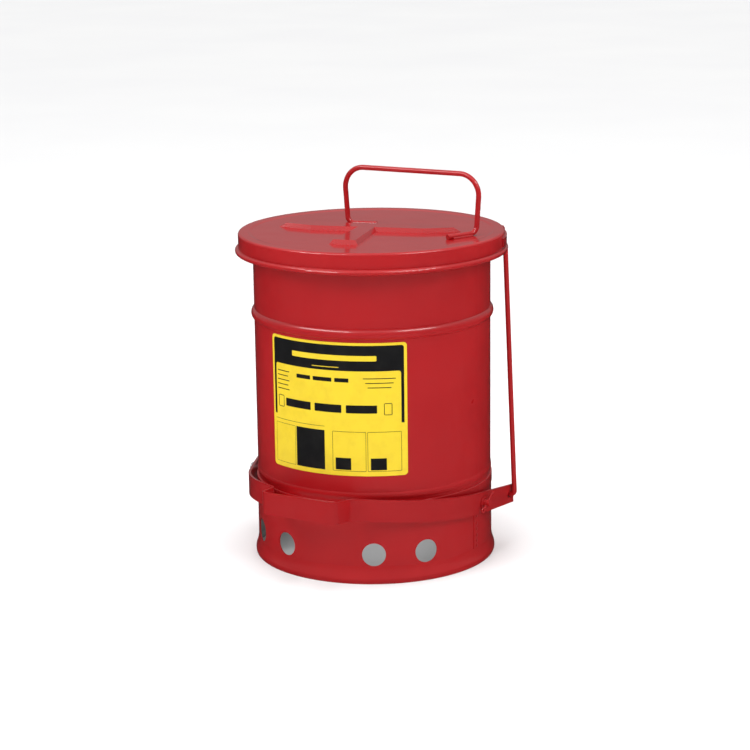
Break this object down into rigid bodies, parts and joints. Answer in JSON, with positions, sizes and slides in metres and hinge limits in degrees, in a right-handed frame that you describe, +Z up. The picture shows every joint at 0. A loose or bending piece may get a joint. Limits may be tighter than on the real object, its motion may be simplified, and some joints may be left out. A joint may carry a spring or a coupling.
{
  "type": "oily waste can",
  "caption": "Round red steel waste can with a vented base skirt, a wire lid handle, and a foot lever and rod that lift its hinged lid.",
  "frame": {"origin": "centre of the foot ring, on the floor", "axes": "+Z up; -Y towards the pedal, +Y towards the lid hinge; +X towards the link rod"},
  "size_m": [0.3482, 0.3645, 0.478],
  "materials": {
    "red_enamel": "gloss",
    "zinc_steel": "zinc plated",
    "label_film": "printed film, yellow with black fields"
  },
  "bodies": {
    "can": {"body_shell": "red_enamel", "base_skirt": "red_enamel", "bottom_pan": "zinc_steel", "skirt_spot_welds": "red_enamel", "label": "label_film", "hinge_body_leaf": "red_enamel", "hinge_body_rivets": "red_enamel", "hinge_pin": "zinc_steel", "right_pivot_stud": "red_enamel", "right_pivot_washer": "red_enamel", "right_pivot_cotter": "red_enamel", "left_pivot_sleeve": "red_enamel", "left_pivot_pin": "zinc_steel", "left_pivot_cotter": "zinc_steel"},
    "lid": {"lid_cover": "red_enamel", "lid_handle": "red_enamel", "handle_welds": "red_enamel", "hinge_lid_leaf": "red_enamel", "hinge_lid_rivets": "red_enamel", "lid_link_lug": "red_enamel"},
    "lever": {"pedal_lever": "red_enamel"},
    "rod": {"link_rod": "red_enamel", "rod_lower_nut": "zinc_steel", "rod_upper_nut": "zinc_steel"}
  },
  "joints": [
    {"name": "lid_hinge", "type": "hinge", "parent": "can", "child": "lid", "pos_m": [0, 0.1705, 0.392], "axis": [-1, 0, 0], "range_deg": [0, 29.5]},
    {"name": "pedal_pivot", "type": "hinge", "parent": "can", "child": "lever", "pos_m": [0, 0, 0.078], "axis": [1, 0, 0], "range_deg": [0, 22]},
    {"name": "rod_swing", "type": "hinge", "parent": "lid", "child": "rod", "pos_m": [0.1159, 0.1185, 0.371], "axis": [1, 0, 0], "range_deg": [0, 29.6]}
  ],
  "couplings": [
    {"joint": "pedal_pivot", "follows": "lid_hinge", "ratio": 0.7438},
    {"joint": "rod_swing", "follows": "lid_hinge", "ratio": 1}
  ]
}
